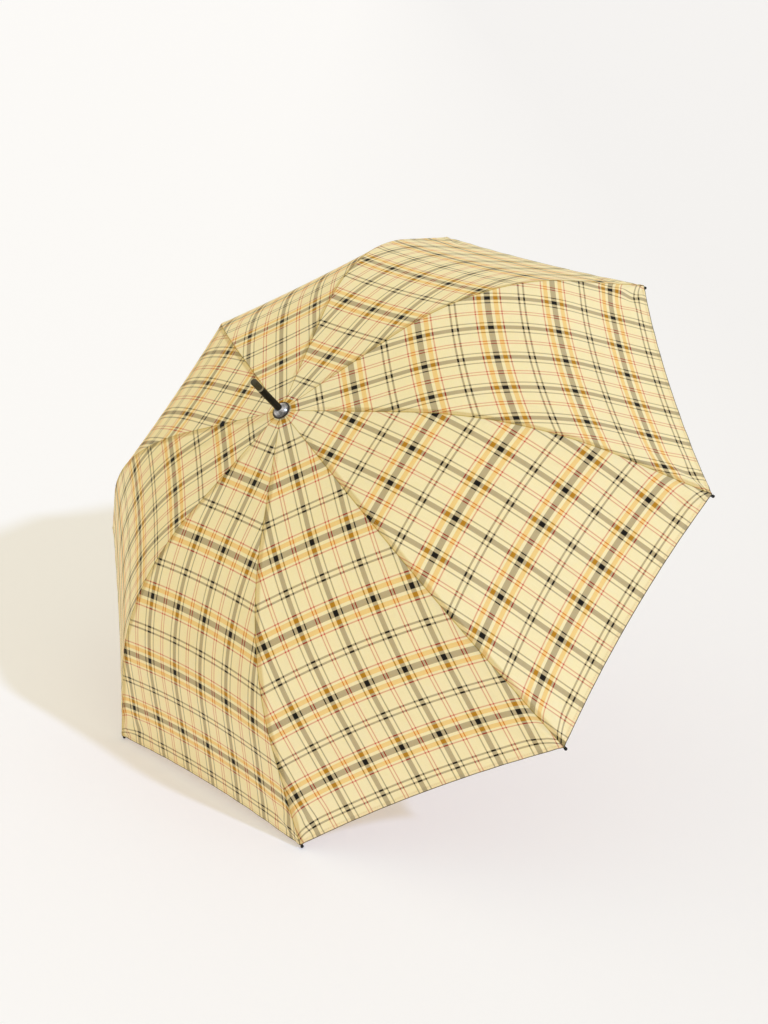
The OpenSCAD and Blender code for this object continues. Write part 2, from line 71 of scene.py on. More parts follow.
# %% Sockets in sums
class Strand:
    """An output of a node in a finish, usable in sums."""

    def __init__(self, finish, socket):
        self.finish = finish
        self.socket = socket

    def maths(self, operation, *values, clamp=False):
        settings = {"operation": operation, "use_clamp": clamp}
        return self.finish.add("ShaderNodeMath", settings, values)

    def __add__(self, other):
        return self.maths("ADD", self, other)

    def __sub__(self, other):
        return self.maths("SUBTRACT", self, other)

    def __rsub__(self, other):
        return self.maths("SUBTRACT", other, self)

    def __mul__(self, other):
        return self.maths("MULTIPLY", self, other)

    def __mod__(self, other):
        return self.maths("FLOORED_MODULO", self, other)

    def __abs__(self):
        return self.maths("ABSOLUTE", self)

    __radd__ = __add__
    __rmul__ = __mul__

    def step(self, edge, soft):
        """0 below the edge and 1 above it, with a soft change."""
        return self.maths("MULTIPLY_ADD", self, 1 / soft, 0.5 - edge / soft, clamp=True)


class Finish:
    """A material on one Principled shader, whose numbers are set on its sockets."""

    def __init__(self, name, **numbers):
        self.material = bpy.data.materials.new(name)
        self.material.use_nodes = True
        self.tree = self.material.node_tree
        self.shader = self.tree.nodes["Principled BSDF"]
        for socket, value in numbers.items():
            self.shader.inputs[socket.replace("_", " ")].default_value = value

    def add(self, kind, settings=(), inputs=(), out=0):
        node = self.tree.nodes.new(kind)
        for key, value in dict(settings).items():
            if key == "stops":
                for place, colour in value[1:-1]:
                    node.color_ramp.elements.new(place)
                for element, (place, colour) in zip(node.color_ramp.elements, value):
                    element.position, element.color = place, colour
            else:
                setattr(node, key, value)
        for key, value in inputs.items() if isinstance(inputs, dict) else enumerate(inputs):
            self.join(node.inputs[key], value)
        return Strand(self, node.outputs[out])

    def join(self, socket, value):
        if isinstance(value, Strand):
            self.tree.links.new(value.socket, socket)
        else:
            socket.default_value = value

    def feed(self, **sockets):
        for name, value in sockets.items():
            self.join(self.shader.inputs[name.replace("_", " ")], value)

    def mix(self, share, low, high):
        return self.add("ShaderNodeMix", {"data_type": "RGBA"}, {0: share, 6: low, 7: high}, 2)

    def place(self, scale=(1, 1, 1)):
        """Object coordinates in metres, stretched by a scale."""
        here = self.add("ShaderNodeTexCoord", out="Object")
        return self.add("ShaderNodeMapping", {}, {"Vector": here, "Scale": scale})

    def noise(self, at, scale, detail=3.0, rough=0.5):
        return self.add(
            "ShaderNodeTexNoise", {}, {"Vector": at, "Scale": scale, "Detail": detail, "Roughness": rough}
        )

    def bump(self, height, distance, strength=1.0):
        return self.add(
            "ShaderNodeBump", {}, {"Height": height, "Distance": distance, "Strength": strength}
        )


def tint(red, green, blue):
    """A colour as it is seen on a screen, 0 to 255, in the linear light that shaders use."""
    seen = (red / 255, green / 255, blue / 255)
    return tuple(v / 12.92 if v <= 0.04045 else ((v + 0.055) / 1.055) ** 2.4 for v in seen) + (1.0,)


print("finish tools ready")

# %% [markdown]
# ## Metal, nylon and lacquer
# The working parts are drawn steel, brass, moulded nylon and black lacquer. Drawn tube has faint streaks
# along it, turned parts have rings, and lacquer is smooth with thin scuffs where hands and cloth rub it.
# Each of these is noise, stretched along the way the part was made, that changes roughness and colour a
# little.

# %% Finishes of the working parts
def streaked(name, dark, light, stretch, rough, metallic=1.0, **numbers):
    """Metal with fine marks drawn out along one direction."""
    finish = Finish(name, Metallic=metallic, **numbers)
    marks = finish.noise(finish.place(stretch), 1.0, 4.0, 0.6)
    cloud = finish.noise(finish.place(), 60.0, 2.0)
    finish.feed(
        Base_Color=finish.mix(marks * 0.6 + cloud * 0.4, dark, light),
        Roughness=marks * 0.12 + cloud * 0.14 + (rough - 0.13),
        Normal=finish.bump(marks, 0.00003, 0.4),
    )
    return finish.material


def lacquered(name, body, bare, rough, worn, gloss=0.3):
    """Lacquer or moulded black, dusty in patches, with small scuffs that show what lies under it."""
    finish = Finish(name, Coat_Weight=0.25 * gloss, Coat_Roughness=0.15, Specular_IOR_Level=gloss)
    dust = finish.noise(finish.place(), 45.0, 4.0)
    scuff = finish.noise(finish.place((400, 400, 120)), 1.0, 3.0, 0.7)
    rub = scuff.step(1 - worn, 0.06) * dust.step(0.5, 0.15)
    lifted = tuple(c + 0.008 for c in body[:3]) + (1.0,)
    finish.feed(
        Base_Color=finish.mix(rub, finish.mix(dust.step(0.55, 0.3), body, lifted), bare),
        Roughness=dust * 0.2 + rub * 0.2 + (rough - 0.1),
        Normal=finish.bump(dust * 0.3 + scuff * 0.1, 0.00005, 0.3),
    )
    return finish.material


def clouded_plate_painted_reflection():
    """The dome: plating in dark and light patches, partly clouding from handling and partly painted
    reflection, with painted shade round its foot where it meets the washer.
    """
    finish = Finish("polished_cap", Metallic=1.0)
    foot = min(v.co.z for v in frame["nodes"]["dome_cap"].data.vertices)
    height = finish.add("ShaderNodeSeparateXYZ", {}, [finish.place()], "Z")
    cloud = finish.noise(finish.place((150, 150, 260)), 1.0, 3.0, 0.55)
    # Painted reflection and shade: the light patches stand partly for clean plating and partly for bright
    # reflections, and the bottom of the dome is painted dark as shade where it meets the washer.
    clean_and_reflected = cloud.step(0.5, 0.3) * (height - foot).step(0.0014, 0.0028)
    finish.feed(
        Base_Color=finish.mix(clean_and_reflected, (0.09, 0.085, 0.075, 1), (0.6, 0.58, 0.57, 1)),
        Roughness=0.3 - clean_and_reflected * 0.16 + cloud * 0.08,
        Normal=finish.bump(cloud, 0.0004, 0.5),
    )
    return finish.material


def aged_brass():
    """The ferrule's end: brass gone olive, with a painted highlight on the lip at its joint."""
    finish = Finish("aged_ferrule_end", Metallic=0.8)
    joint = min(v.co.z for v in frame["nodes"]["ferrule_end"].data.vertices)
    height = finish.add("ShaderNodeSeparateXYZ", {}, [finish.place()], "Z")
    marks = finish.noise(finish.place((300, 300, 90)), 1.0, 4.0, 0.6)
    # Painted highlight: a narrow band on the lip at the joint is made lighter in colour.
    lip_highlight = 1 - abs(height - joint - 0.0016).step(0.0014, 0.0012)
    olive = finish.mix(marks, (0.02, 0.018, 0.009, 1), (0.12, 0.105, 0.06, 1))
    finish.feed(
        Base_Color=finish.mix(lip_highlight * marks, olive, (0.55, 0.52, 0.42, 1)),
        Roughness=0.52 - lip_highlight * 0.18 + marks * 0.1,
        Normal=finish.bump(marks, 0.00003, 0.4),
    )
    return finish.material


STEEL_DARK, STEEL_LIGHT = (0.42, 0.43, 0.44, 1), (0.66, 0.67, 0.68, 1)
TUBE_BRASS = (0.12, 0.1, 0.07, 1)
TIP_BLACK, NYLON_BLACK = (0.006, 0.006, 0.006, 1), (0.016, 0.016, 0.017, 1)
finishes = {
    "shaft_steel": streaked("satin_plated_tube", (0.38, 0.39, 0.4, 1), STEEL_LIGHT, (900, 900, 12), 0.3),
    "bare_steel": streaked("drawn_wire", STEEL_DARK, (0.72, 0.72, 0.72, 1), (500, 500, 500), 0.26),
    "bright_cap": clouded_plate_painted_reflection(),
    "dull_brass": aged_brass(),
    "notch_brass": streaked("turned_brass", (0.5, 0.36, 0.14, 1), (0.78, 0.6, 0.3, 1), (80, 80, 900), 0.32),
    "black_lacquer": lacquered("ferrule_lacquer", (0.006, 0.005, 0.003, 1), TUBE_BRASS, 0.34, 0.28, 0.12),
    "rib_steel": lacquered("rib_lacquer", (0.02, 0.02, 0.02, 1), (0.35, 0.35, 0.35, 1), 0.38, 0.27),
    "tip_black": lacquered("tip_moulding", TIP_BLACK, (0.03, 0.03, 0.03, 1), 0.45, 0.25, 0.15),
    "runner_nylon": lacquered("runner_moulding", NYLON_BLACK, (0.06, 0.06, 0.06, 1), 0.42, 0.3),
    "dark_washer": lacquered("cap_washer_rubber", (0.03, 0.02, 0.016, 1), (0.09, 0.07, 0.05, 1), 0.55, 0.3),
}
for part in frame["record"]["subparts"]:
    if part["material_slot"] in finishes:
        mesh = frame["nodes"][part["node"]].data
        mesh.materials.clear()
        mesh.materials.append(finishes[part["material_slot"]])
print("finishes on solids:", len(finishes))

# %% [markdown]
# ## The canopy's surface
# Eight gores of cloth are sewn together along the ribs and pulled tight over them. Between two ribs tight
# cloth is nearly flat across, so a gore is ruled by straight chords from rib to rib, and the pull of the
# hem draws its middle towards the crown. The ribs are straight, then bent, then straight again. One
# function gives a point of the cloth at length s along the rib, at a share v of the way to the middle of
# the gore and at height n above the rib. All lengths of the cloth are in millimetres until the meshes are
# made.

# %% Ribs and cloth as functions
MM = 0.001
RIBS = 8
GORE = 2 * math.pi / RIBS
CROWN_Z = 690.0
PIVOT_R = 8.72
EYE_DROP = 1.0
RIB_FALL = math.radians(10)
RIB_INNER = 164.0
BEND_R = 377.0
RIB_BEND = math.radians(41.5)
BEND_L = BEND_R * RIB_BEND
RIB_L = RIB_INNER + BEND_L + 140.0
HEM_S = RIB_L - 6.0
CLOTH_S0 = (5.2 - PIVOT_R) / math.cos(RIB_FALL)
CLOTH_TOP = 3.1
GORE_PULL, GORE_SAG = 11.4, 3.0
BULGE_END, BULGE_PEAK = 1.133, 0.174
RIB_SWING = math.radians(58.8505)


def fall(s):
    return RIB_FALL + np.clip((s - RIB_INNER) / BEND_L, 0, 1) * RIB_BEND


def rib_line(s, n):
    """Radius and height of a point above the rib's centreline."""
    f, past = fall(s), np.maximum(s - RIB_INNER - BEND_L, 0)
    r = PIVOT_R + EYE_DROP * math.sin(RIB_FALL) + np.minimum(s, RIB_INNER) * math.cos(RIB_FALL)
    r = r + BEND_R * (np.sin(f) - math.sin(RIB_FALL)) + past * math.cos(RIB_FALL + RIB_BEND)
    z = CROWN_Z + EYE_DROP * math.cos(RIB_FALL) - np.minimum(s, RIB_INNER) * math.sin(RIB_FALL)
    z = z - BEND_R * (math.cos(RIB_FALL) - np.cos(f)) - past * math.sin(RIB_FALL + RIB_BEND)
    return r + n * np.sin(f), z + n * np.cos(f)


def smooth(x):
    x = np.clip(x, 0, 1)
    return x * x * (3 - 2 * x)


def half_width(s):
    """Half the width of a gore, from its seam to its middle."""
    return rib_line(s, CLOTH_TOP)[0] * math.sin(GORE / 2)


def stretched(s, v, n, full):
    """A point of the tight cloth in the frame of rib 1."""
    r, z = rib_line(s, n)
    a, f = np.abs(v), fall(s)
    u = np.clip(s / HEM_S, 0, None)
    bulge = u**3 * (BULGE_END - u) / BULGE_PEAK * a * (2 - a) * full
    pull = -bulge * (GORE_PULL * np.cos(f) + GORE_SAG * np.sin(f))
    lift = bulge * (GORE_PULL * np.sin(f) - GORE_SAG * np.cos(f))
    x = r * (1 - a / 2 * (1 - math.cos(GORE))) + pull * math.cos(GORE / 2)
    y = np.sign(v) * (r * a / 2 * math.sin(GORE) + pull * math.sin(GORE / 2))
    return np.stack([x, y, z + lift], -1)


print("cloth runs to", round(float(rib_line(HEM_S, CLOTH_TOP)[0]), 1), "mm from the shaft")

# %% [markdown]
# ## Folds, seams and puckers
# Real cloth is never as clean as its rule. The seam lies in a fine groove with small puckers along the
# thread, the corners are tied to the rib tips, so folds run out from each tip, the hem has slack waves,
# and the cloth gathers under the washer. These are small moves along the surface's height, each fading
# out before the next gore begins, so that the gores still meet. The amounts differ from gore to gore by a
# fixed seed.

# %% Small moves of the cloth
FULL_TURN = 2 * math.pi
FULL_SPREAD = 0.12
FOLD_LEAST, FOLD_MOST = 0.7, 1.25
dice = np.random.default_rng(23)
GORE_FULL = 1 + FULL_SPREAD * dice.uniform(-1, 1, RIBS)
FOLD_TURN = dice.uniform(0, FULL_TURN, RIBS)
FOLD_SIZE = dice.uniform(FOLD_LEAST, FOLD_MOST, RIBS)
WAVE_TURN = dice.uniform(0, FULL_TURN, RIBS)
SEAM_FROM, SEAM_RISE = 24.0, 30.0
GROOVE_DEEP, GROOVE_HALF, BANK_HIGH, BANK_HALF = 0.4, 0.9, 0.3, 4.5
PUCKER_HIGH, PUCKER_STEP, PUCKER_AT, PUCKER_HALF, PUCKER_SHIFT = 0.16, 7.3, 3.0, 2.2, 4.0
TIP_OUT = 6.0
SHORT_STEP = 0.25
FOLD_HIGH, FOLD_WAVES, FOLD_FADE, FOLD_CLEAR = 4.0, 7.5, 58.0, 9.0
RIPPLE_HIGH, RIPPLE_STEP, RIPPLE_SLANT = 1.5, 46.0, 0.5
RIPPLE_AT, RIPPLE_HALF, RIPPLE_CLEAR = 40.0, 26.0, 12.0
HEM_HOLD, HEM_FREE = 0.3, 30.0
PLEAT_HIGH, PLEAT_TURN, PLEAT_HALF, PLEAT_FADE, PLEAT_CLEAR = 2.6, 0.24, 0.1, 75.0, 25.0
WAVE_HIGH, WAVE_STEP, WAVE_FADE = 0.35, 41.0, 26.0
GATHER_HIGH, GATHER_R, GATHER_FADE, GATHER_FROM, GATHER_RISE = 0.3, 16.0, 12.0, 13.0, 6.0


def hump(x, centre, half):
    """1 at the centre, fading to both sides."""
    return np.exp(-(((x - centre) / half) ** 2))


def gore_of(k, side):
    """The gore on one side of rib k: side +1 is towards rib k - 1."""
    return (k - 1 if side < 0 else k - 2) % RIBS


def relief(k, s, v, side):
    """How far the cloth stands above its rule."""
    a = np.abs(v)
    t, d = a * half_width(s), HEM_S - s
    gore = gore_of(k, side)
    out = smooth((s - SEAM_FROM) / SEAM_RISE)
    groove = BANK_HIGH * hump(t, 0, BANK_HALF) - GROOVE_DEEP * hump(t, 0, GROOVE_HALF)
    pucker = PUCKER_HIGH * np.sin(FULL_TURN * s / PUCKER_STEP + PUCKER_SHIFT * side)
    pucker = pucker * hump(t, PUCKER_AT, PUCKER_HALF)
    from_tip, turn = np.hypot(t, d + TIP_OUT), np.arctan2(t, d + TIP_OUT)
    fold = FOLD_HIGH * np.cos(FOLD_WAVES * turn + FOLD_TURN[gore]) * np.exp(-from_tip / FOLD_FADE)
    fold = fold * (1 - hump(t, 0, FOLD_CLEAR))
    ripple = RIPPLE_HIGH * np.cos(FULL_TURN * (d + RIPPLE_SLANT * t) / RIPPLE_STEP + FOLD_TURN[gore])
    ripple = ripple * hump(from_tip, RIPPLE_AT, RIPPLE_HALF) * (1 - hump(t, 0, RIPPLE_CLEAR))
    fold = (fold + ripple) * (HEM_HOLD + (1 - HEM_HOLD) * smooth(d / HEM_FREE))
    pleat = PLEAT_HIGH * hump(turn, PLEAT_TURN, PLEAT_HALF) * np.exp(-from_tip / PLEAT_FADE)
    pleat = pleat * (1 - np.exp(-from_tip / PLEAT_CLEAR))
    wave = WAVE_HIGH * np.sin(FULL_TURN * t / WAVE_STEP + WAVE_TURN[gore])
    wave = wave * np.exp(-np.maximum(d, 0) / WAVE_FADE) * np.sin(math.pi * np.clip(a, 0, 1)) ** 2
    r = rib_line(s, CLOTH_TOP)[0]
    gather = GATHER_HIGH * np.cos(3 * math.pi * a) * np.exp(-np.maximum(r - GATHER_R, 0) / GATHER_FADE)
    gather = gather * smooth((r - GATHER_FROM) / GATHER_RISE)
    return out * (groove + pucker) + (1 - a) ** 2 * FOLD_SIZE[gore] * (fold + pleat) + wave - gather


def skin(k, s, v, side):
    full = GORE_FULL[gore_of(k, side)]
    return stretched(s, v, CLOTH_TOP + relief(k, s, v, side), full)


def skin_normal(k, s, v, side):
    """The outward direction, from short steps along the cloth."""
    q = SHORT_STEP / half_width(s)
    along = skin(k, s + SHORT_STEP, v, side) - skin(k, s - SHORT_STEP, v, side)
    across = skin(k, s, v + q, side) - skin(k, s, v - q, side)
    up = np.cross(along, across)
    return up / np.linalg.norm(up, axis=-1, keepdims=True)


def turn_to(k, points):
    """From the frame of rib 1 to that of rib k."""
    a = (1 - k) * GORE
    spin = np.array([[math.cos(a), math.sin(a), 0], [-math.sin(a), math.cos(a), 0], [0, 0, 1]])
    return points @ spin


print("fold sizes from", FOLD_SIZE.min().round(2), "to", FOLD_SIZE.max().round(2))

# %% [markdown]
# ## Cloth cut where it would fold
# When the runner comes down, the ribs swing in and the cloth between them folds away. A mesh can't fold
# by itself, so the skin is cut where that fold would lie. Over each rib runs a leaf that is as wide as
# the gap between closed ribs: its edges meet the next leaf's when the umbrella is closed. What lies
# between a leaf and the middle of the gore is made as separate pieces. At rest all pieces share their
# edges and their normals, so the skin shows no cut.

# %% Where the leaves end
BLEND_FROM, BLEND_TO = 10.0, 26.0
LEAF_LEAST, LEAF_SHARE_MOST = 6.0, 0.98
HALVINGS = 40


def closed_gap(s, v):
    """How far a point of the cloth lies past the plane between two closed ribs."""
    at = stretched(s, v, CLOTH_TOP, 1.0)
    angle = RIB_SWING * smooth((at[..., 0] - BLEND_FROM) / (BLEND_TO - BLEND_FROM))
    x, z = at[..., 0] - PIVOT_R, at[..., 2] - CROWN_Z
    closed_x = PIVOT_R + x * np.cos(angle) + z * np.sin(angle)
    return at[..., 1] - math.tan(GORE / 2) * closed_x


def leaf_edge(s):
    """The share v at which a leaf ends, by halving."""
    low, high = np.zeros_like(s), np.ones_like(s)
    for _ in range(HALVINGS):
        mid = (low + high) / 2
        past = closed_gap(s, mid) > 0
        low, high = np.where(past, low, mid), np.where(past, mid, high)
    return np.maximum(low, np.minimum(LEAF_LEAST / half_width(s), LEAF_SHARE_MOST))


ROW_STEP = 3.0
SPLIT_S = 400.0
upper = np.linspace(CLOTH_S0, SPLIT_S, round((SPLIT_S - CLOTH_S0) / ROW_STEP))
lower = np.linspace(SPLIT_S, HEM_S - 9, round((HEM_S - 9 - SPLIT_S) / ROW_STEP))
rows = np.concatenate([upper, lower[1:], HEM_S - np.array([7.5, 6.4, 5.8, 5.2, 4, 2.4, 1.1, 0.5, 0.0])])
split_row = len(upper) - 1
edge = leaf_edge(rows)
leaf_half = edge * half_width(rows)
for s in (50, 173, 302, 400, 500, 569):
    print("leaf at", s, "is", round(float(2 * np.interp(s, rows, leaf_half)), 1), "mm wide")

# %% [markdown]
# ## Check cloth
# The cloth is yarn dyed: a plain check whose stripes are woven in both ways. Where a dark warp crosses a
# pale weft the eye sees half of each, and where two dark ones cross it sees the full colour. So the
# finish works out one colour for the warp from the distance to the gore's middle, one for the weft from
# the length along it, and mixes them in equal parts. On one side of each seam the cloth is darker over
# the allowance folded inside, partly as the denser double layer and partly as painted shade of the fold,
# and a thin line of painted shade lies in the seam's crease. The hem's edge is overcast with dark
# thread. The weft has a dark band between two gold ones with red guards, and fine dark lines in twos;
# the warp has a dark band between hairlines and red lines in twos, at a shorter repeat.

# %% Cloth and thread finishes
CREAM, GOLD = tint(252, 232, 189), tint(241, 174, 46)
INK, RED = tint(20, 18, 12), tint(198, 36, 34)
WEFT_REPEAT, WARP_REPEAT = 0.094, 0.052
WEFT_STRIPES = ((0.0, 0.008, INK), (0.0112, 0.006, GOLD), (0.0178, 0.0018, RED), (0.0434, 0.0026, INK))
WARP_STRIPES = ((0.0, 0.0064, INK), (0.0084, 0.0017, INK), (0.0238, 0.0015, RED))
STRIPE_SOFT = 0.0006


def yarn(finish, across, repeat, stripes):
    """The colour of the yarn at a distance across stripes that mirror at each half repeat."""
    fold = abs((across + repeat / 2) % repeat - repeat / 2)
    colour = CREAM
    for centre, width, dye in stripes:
        colour = finish.mix(1 - abs(fold - centre).step(width / 2, STRIPE_SOFT), colour, dye)
    return colour


def check_cloth():
    finish = Finish(
        "check_cloth", Sheen_Weight=0.04, Sheen_Roughness=0.5, Specular_IOR_Level=0.12,
        Subsurface_Weight=0.35, Subsurface_Scale=0.002, Subsurface_Radius=(1.0, 0.8, 0.45),
    )
    weave = finish.add("ShaderNodeUVMap", {"uv_map": "weave"})
    across = finish.add("ShaderNodeSeparateXYZ", {}, [weave], "X")
    along = finish.add("ShaderNodeSeparateXYZ", {}, [weave], "Y")
    sewn = finish.add("ShaderNodeAttribute", {"attribute_name": "sewn"}, out="Vector")
    seam = finish.add("ShaderNodeSeparateXYZ", {}, [sewn], "X")
    hem = finish.add("ShaderNodeSeparateXYZ", {}, [sewn], "Y")
    length = finish.add("ShaderNodeSeparateXYZ", {}, [sewn], "Z")

    def threads(stretch):
        at = finish.add("ShaderNodeVectorMath", {"operation": "MULTIPLY"}, [weave, stretch])
        return finish.noise(at, 1.0, 2.0, 0.6)

    warp, weft = threads((1100, 70, 1)), threads((70, 1100, 1))
    warp_dye = yarn(finish, across, WARP_REPEAT, WARP_STRIPES)
    weft_dye = yarn(finish, along, WEFT_REPEAT, WEFT_STRIPES)
    cloth = finish.mix(0.5, warp_dye, weft_dye)
    shade = finish.noise(weave, 9.0, 3.0)
    # Painted shade along each seam: a strip on one side over the folded allowance, partly the denser double
    # layer and partly the shade of its fold, and a dark line in the seam's crease.
    allowance_and_fold_shade = seam.step(0.0, 0.0016) * (1 - seam.step(0.0066, 0.003)) * length.step(0.06, 0.06)
    seam_crease_shade = 1 - abs(seam).step(0.0007, 0.0009)
    dense_and_shade = allowance_and_fold_shade * 0.5 + seam_crease_shade * 0.75 + (1 - hem.step(0.0062, 0.001)) * 0.12
    # worn mixes random thread and cloth tone with the painted seam shade; shadow turns it into a darker
    # colour to multiply by.
    worn = (warp - 0.5) * 0.22 + (weft - 0.5) * 0.22 + (shade - 0.5) * 0.2 + dense_and_shade
    shadow = finish.mix(worn.step(0.42, 1.0), tint(255, 255, 254), tint(204, 190, 132))
    cloth = finish.add(
        "ShaderNodeMix", {"data_type": "RGBA", "blend_type": "MULTIPLY"}, {0: 1.0, 6: cloth, 7: shadow}, 2
    )
    overcast = 1 - hem.step(0.0011, 0.0004)
    finish.feed(
        Base_Color=finish.mix(overcast * 0.85, cloth, tint(52, 50, 40)),
        Roughness=warp * 0.1 + weft * 0.1 + 0.66,
        Normal=finish.bump(warp + weft, 0.00008, 0.5),
    )
    return finish.material


def thread_finish(name, colour):
    """Twisted sewing thread: fine slanting marks."""
    finish = Finish(name, Sheen_Weight=0.2)
    twist = finish.noise(finish.place((2500, 2500, 1400)), 1.0, 2.0)
    dim = tuple(0.6 * c for c in colour[:3]) + (1.0,)
    finish.feed(
        Base_Color=finish.mix(twist, dim, colour),
        Roughness=twist * 0.2 + 0.6,
        Normal=finish.bump(twist, 0.0001, 0.5),
    )
    return finish.material


cloth_finish = check_cloth()
pale_thread = thread_finish("seam_thread", tint(226, 206, 150))
tip_thread = thread_finish("tip_thread", tint(112, 102, 62))
print("check repeats every", round(WEFT_REPEAT * 1000), "by", round(WARP_REPEAT * 1000), "mm")

# %% [markdown]
# ## Sewing the skin
# Each piece is a grid of rows along the rib and columns across it. The outside is the skin function, the
# inside lies a thread's thickness under it, thicker where the seam allowance and the folded hem are, and
# a rim closes both. Two measures go along with the points: a UV map in metres that the weave reads, and
# the distances to seam and hem. Near a tip the corner of the cloth is drawn out, so there the stripes
# bend towards the tip.

# %% Cloth pieces
middle_line = skin(1, rows, np.full_like(rows, 0.999), 1)
middle_step = np.linalg.norm(np.diff(middle_line, axis=0), axis=1)
weave_along = np.concatenate([[0.0], np.cumsum(middle_step)])
GORE_SHIFT = 0.25 * WARP_REPEAT * dice.integers(0, 4, RIBS)
CLOTH_T, ALLOWANCE_T, HEM_T = 0.4, 0.5, 0.7
ALLOWANCE_WIDE, ALLOWANCE_FROM, HEM_WIDE = 6.2, 30.0, 5.6
DRAWN_OUT, DRAWN_FADE, DRAWN_FROM, DRAWN_RISE = 10.0, 11.0, 115.0, 105.0
LEAF_COLUMNS = np.array([0.35, 0.8, 1.4, 2.2, 3.0])


def cloth_piece(name, k, first, last, v, sides):
    """A mesh over rows first to last, at shares v (rows by columns).

    sides says on which side of the rib each column of faces lies.
    """
    s = np.repeat(rows[first : last + 1, None], v.shape[1], 1)
    reach = half_width(s)
    t, d = np.abs(v) * reach, HEM_S - s
    column_side = np.append(sides, sides[-1])
    outer, up = np.empty(s.shape + (3,)), np.empty(s.shape + (3,))
    for side in (-1, 1):
        pick = np.where(column_side == side)[0]
        if len(pick):
            outer[:, pick] = skin(k, s[:, pick], v[:, pick], side)
            up[:, pick] = skin_normal(k, s[:, pick], v[:, pick], side)
    on_seam = np.isclose(v, 0)
    up[on_seam] = skin_normal(k, s[on_seam], v[on_seam], 1) * [1, 0, 1]
    up /= np.linalg.norm(up, axis=-1, keepdims=True)
    felled = (v > 0) & (t < ALLOWANCE_WIDE) & (s > ALLOWANCE_FROM)
    thick = CLOTH_T + ALLOWANCE_T * felled + HEM_T * (d < HEM_WIDE)
    inner = outer - up * thick[..., None]
    count, wide = s.size, s.shape[1]
    grid = np.arange(count).reshape(s.shape)
    a, b, c, e = grid[:-1, :-1], grid[1:, :-1], grid[1:, 1:], grid[:-1, 1:]
    top = np.stack([a, b, c, e], -1).reshape(-1, 4)
    round_it = np.concatenate([grid[0, :-1], grid[:-1, -1], grid[-1, :0:-1], grid[:0:-1, 0]])
    after = np.roll(round_it, -1)
    rim = np.stack([round_it, after, after + count, round_it + count], -1)
    faces = np.concatenate([top, top[:, ::-1] + count, rim])
    mesh = bpy.data.meshes.new(name)
    points = turn_to(k, np.concatenate([outer.reshape(-1, 3), inner.reshape(-1, 3)])) * MM
    mesh.from_pydata(points.tolist(), [], faces.tolist(), shade_flat=False)
    pulled = DRAWN_OUT * np.exp(-t / DRAWN_FADE) * smooth((DRAWN_FROM - d) / DRAWN_RISE)
    along = np.interp(s, rows, weave_along) - pulled
    across = (1 - np.abs(v)) * reach
    corner = faces.ravel() % count
    face_side = np.concatenate([np.tile(sides, len(s) - 1)] * 2)
    rim_column = np.minimum(round_it % wide, after % wide)
    face_side = np.concatenate([face_side, np.asarray(sides)[np.minimum(rim_column, wide - 2)]])
    corner_side = np.repeat(face_side, 4)
    shift = np.where(corner_side > 0, GORE_SHIFT[gore_of(k, 1)], GORE_SHIFT[gore_of(k, -1)])
    weave = np.stack([-corner_side * across.ravel()[corner] * MM + shift, along.ravel()[corner] * MM], -1)
    mesh.uv_layers.new(name="weave").uv.foreach_set("vector", weave.astype(np.float32).ravel())
    sewn = np.stack([(v * reach).ravel() * MM, np.maximum(d, 0).ravel() * MM, s.ravel() * MM], -1)
    mesh.attributes.new("sewn", "FLOAT_VECTOR", "POINT").data.foreach_set(
        "vector", np.concatenate([sewn, sewn]).astype(np.float32).ravel()
    )
    both = turn_to(k, np.concatenate([up.reshape(-1, 3), -up.reshape(-1, 3)]))
    mesh.normals_split_custom_set_from_vertices(both.tolist())
    mesh.materials.append(cloth_finish)
    piece = bpy.data.objects.new(name, mesh)
    bpy.context.collection.objects.link(piece)
    return piece


def leaf_shares():
    """Columns of a leaf from seam to edge: some at fixed distances for the seam, the rest spread out."""
    near = LEAF_COLUMNS[None, :] / half_width(rows)[:, None]
    near = np.minimum(near, edge[:, None] * np.linspace(0.1, 0.6, len(LEAF_COLUMNS)))
    far = near[:, -1:] + (edge[:, None] - near[:, -1:]) * np.linspace(0, 1, 9)[1:]
    half = np.concatenate([near, far], 1)
    return np.concatenate([-half[:, ::-1], np.zeros((len(rows), 1)), half], 1)


SIDE_COLUMNS, SIDE_SHARE_FROM = 24, 0.97
leaf_v = leaf_shares()
side_v = edge[:, None] + (1 - edge[:, None]) * np.linspace(0, 1, SIDE_COLUMNS + 1)
side_first = int(np.argmax(edge < SIDE_SHARE_FROM))
leaf_sides = np.repeat([-1, 1], leaf_v.shape[1] // 2)
last_row = len(rows) - 1
cloth = {}
for k in range(1, RIBS + 1):
    cloth[k, "leaf"] = cloth_piece(f"canopy_leaf_{k}", k, 0, last_row, leaf_v, leaf_sides)
    for side, word in ((-1, "left"), (1, "right")):
        v = side * side_v if side > 0 else -side_v[:, ::-1]
        sides = np.full(SIDE_COLUMNS, side)
        cloth[k, "upper", side] = cloth_piece(
            f"canopy_upper_{word}_{k}", k, side_first, split_row, v[side_first : split_row + 1], sides
        )
        cloth[k, "lower", side] = cloth_piece(
            f"canopy_lower_{word}_{k}", k, split_row, last_row, v[split_row:], sides
        )
triangles = sum(2 * len(piece.data.polygons) for piece in cloth.values())
print("cloth pieces:", len(cloth), "with", triangles, "triangles")

# %% [markdown]
# ## The cloth pieces and their ribs
# Each leaf is left where it was made. The other pieces ride on their rib. For each of these an axis and
# an anchor beside the rib are worked out, sideways for the upper ones and, below the bend where the rib
# is straight, along the slope of the gore for the lower ones, but nothing uses them. The size that each
# piece was cut to is worked out and printed.

# %% Ride on the ribs, and cut sizes
TUCK_UPPER, UPPER_AT, UPPER_KEEP = 4.6, 300, 0.03
TUCK_LOWER, LOWER_AT, LOWER_KEEP = 3.4, 490, 0.01
LOWER_SLOPE = math.atan(0.22)
OUTER_FALL = RIB_FALL + RIB_BEND


